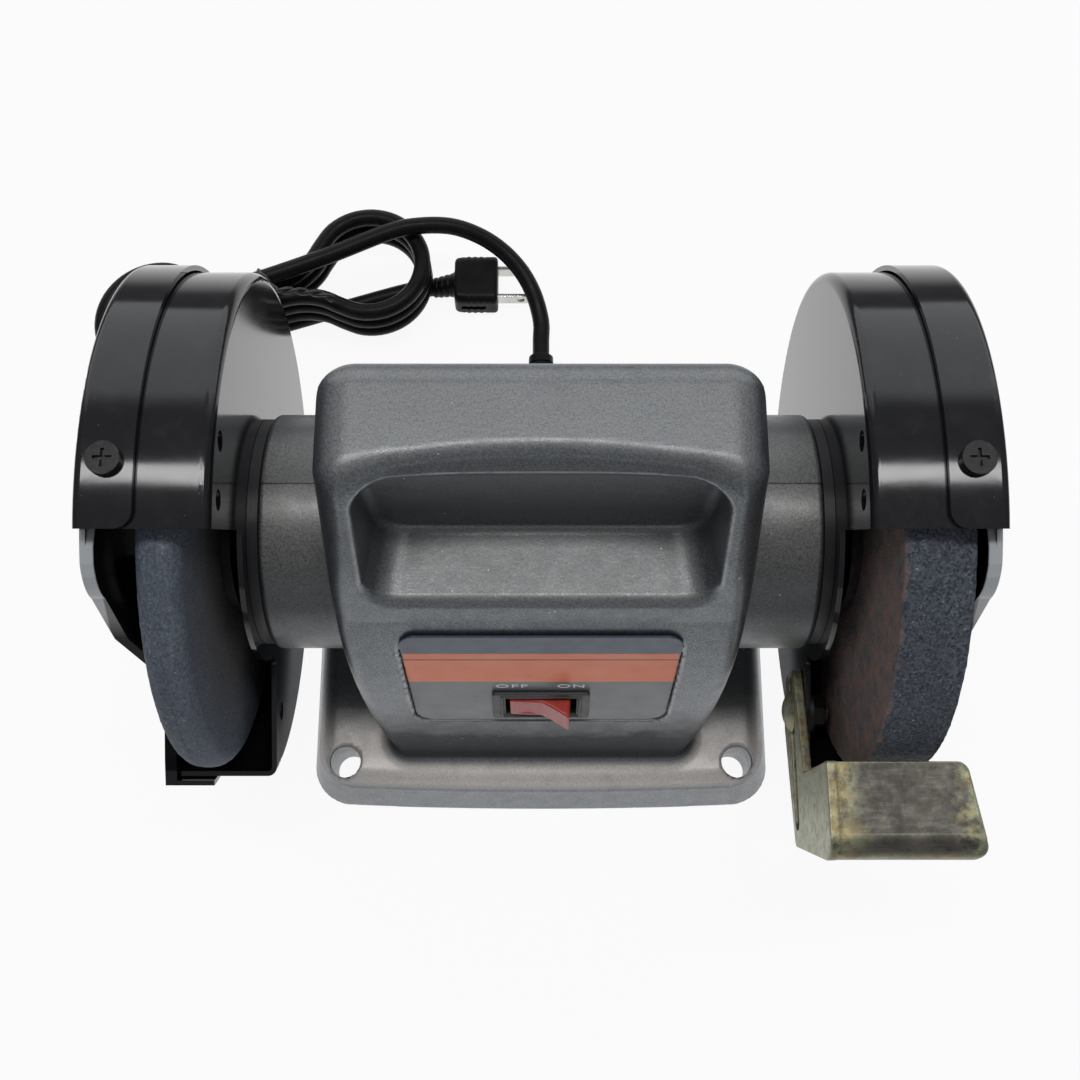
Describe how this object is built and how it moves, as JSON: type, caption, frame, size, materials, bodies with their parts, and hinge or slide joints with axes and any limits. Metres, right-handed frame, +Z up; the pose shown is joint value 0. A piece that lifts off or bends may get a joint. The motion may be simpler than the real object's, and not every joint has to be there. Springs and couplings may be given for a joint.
{
  "type": "bench grinder",
  "caption": "Bench grinder: a motor housing with a carrying grip between two grinding wheels in sheet guards, with a rocker switch, a tool rest and a tied-up cord.",
  "frame": {"origin": "centre of the four mounting holes, on the surface that the base stands on", "axes": "+X along the shaft to the side with the tool rest, +Y to the back where the cord leaves, +Z up"},
  "size_m": [0.3092, 0.2698, 0.1927],
  "materials": {
    "hammered_grey": "dark metallic grey paint with a fine sparkle",
    "gloss_black": "glossy black paint on sheet steel",
    "black_screws": "blackened steel",
    "steel": "turned and pressed steel",
    "bearing_steel": "ground steel",
    "core_steel": "varnished sheet stack",
    "copper_wire": "varnished copper wire",
    "capacitor_case": "drawn can",
    "label_print": "printed plate, dark blue-grey with an orange stripe",
    "switch_black": "satin",
    "rocker_red": "satin red",
    "stone_right": "gritty bonded abrasive",
    "stone_left": "worn bonded abrasive",
    "zinc": "worn steel with a yellow-green plating",
    "cord_rubber": "black rubber",
    "tie_wire": "plastic-covered wire"
  },
  "bodies": {
    "base": {"housing": "hammered_grey", "end_bell_left": "hammered_grey", "end_bell_right": "hammered_grey", "guard_spacer_left": "gloss_black", "guard_spacer_right": "gloss_black", "guard_shell_left": "gloss_black", "guard_shell_right": "gloss_black", "guard_cover_left": "gloss_black", "guard_cover_right": "gloss_black", "guard_screws_left": "black_screws", "guard_screws_right": "black_screws", "cover_screw_left": "black_screws", "cover_screw_right": "black_screws", "bottom_plate": "steel", "bottom_plate_screws": "steel", "capacitor_clip": "steel", "plug_pins": "steel", "bearing_left": "bearing_steel", "bearing_right": "bearing_steel", "stator_core": "core_steel", "stator_windings": "copper_wire", "capacitor": "capacitor_case", "label_plate": "label_print", "switch_body": "switch_black", "cord_gland": "cord_rubber", "cord_tube": "cord_rubber", "cord_hank": "cord_rubber", "plug_body": "cord_rubber", "cord_tie": "tie_wire"},
    "spindle": {"shaft": "steel", "rotor": "core_steel", "inner_flange_left": "steel", "inner_flange_right": "steel", "wheel_left": "stone_left", "wheel_right": "stone_right", "outer_flange_left": "steel", "outer_flange_right": "steel", "arbor_nut_left": "steel", "arbor_nut_right": "steel"},
    "rocker": {"switch_rocker": "rocker_red"},
    "rest_clamp": {"rest_bolt": "zinc", "rest_washer": "zinc", "rest_nut": "zinc"},
    "tool_rest": {"rest_bracket": "zinc"}
  },
  "joints": [
    {"name": "spindle_spin", "type": "hinge", "parent": "base", "child": "spindle", "pos_m": [0, 0, 0.106], "axis": [1, 0, 0], "continuous": true},
    {"name": "rocker_tip", "type": "hinge", "parent": "base", "child": "rocker", "pos_m": [0, -0.04976, 0.08264], "axis": [0, 0.2351, 0.972], "range_deg": [0, 18]},
    {"name": "rest_tilt", "type": "hinge", "parent": "base", "child": "rest_clamp", "pos_m": [0.0865, -0.051, 0.067], "axis": [1, 0, 0], "range_deg": [0, 15]},
    {"name": "rest_slide", "type": "slide", "parent": "rest_clamp", "child": "tool_rest", "axis": [0, 1, 0], "range_m": [-0.008, 0.001]}
  ]
}
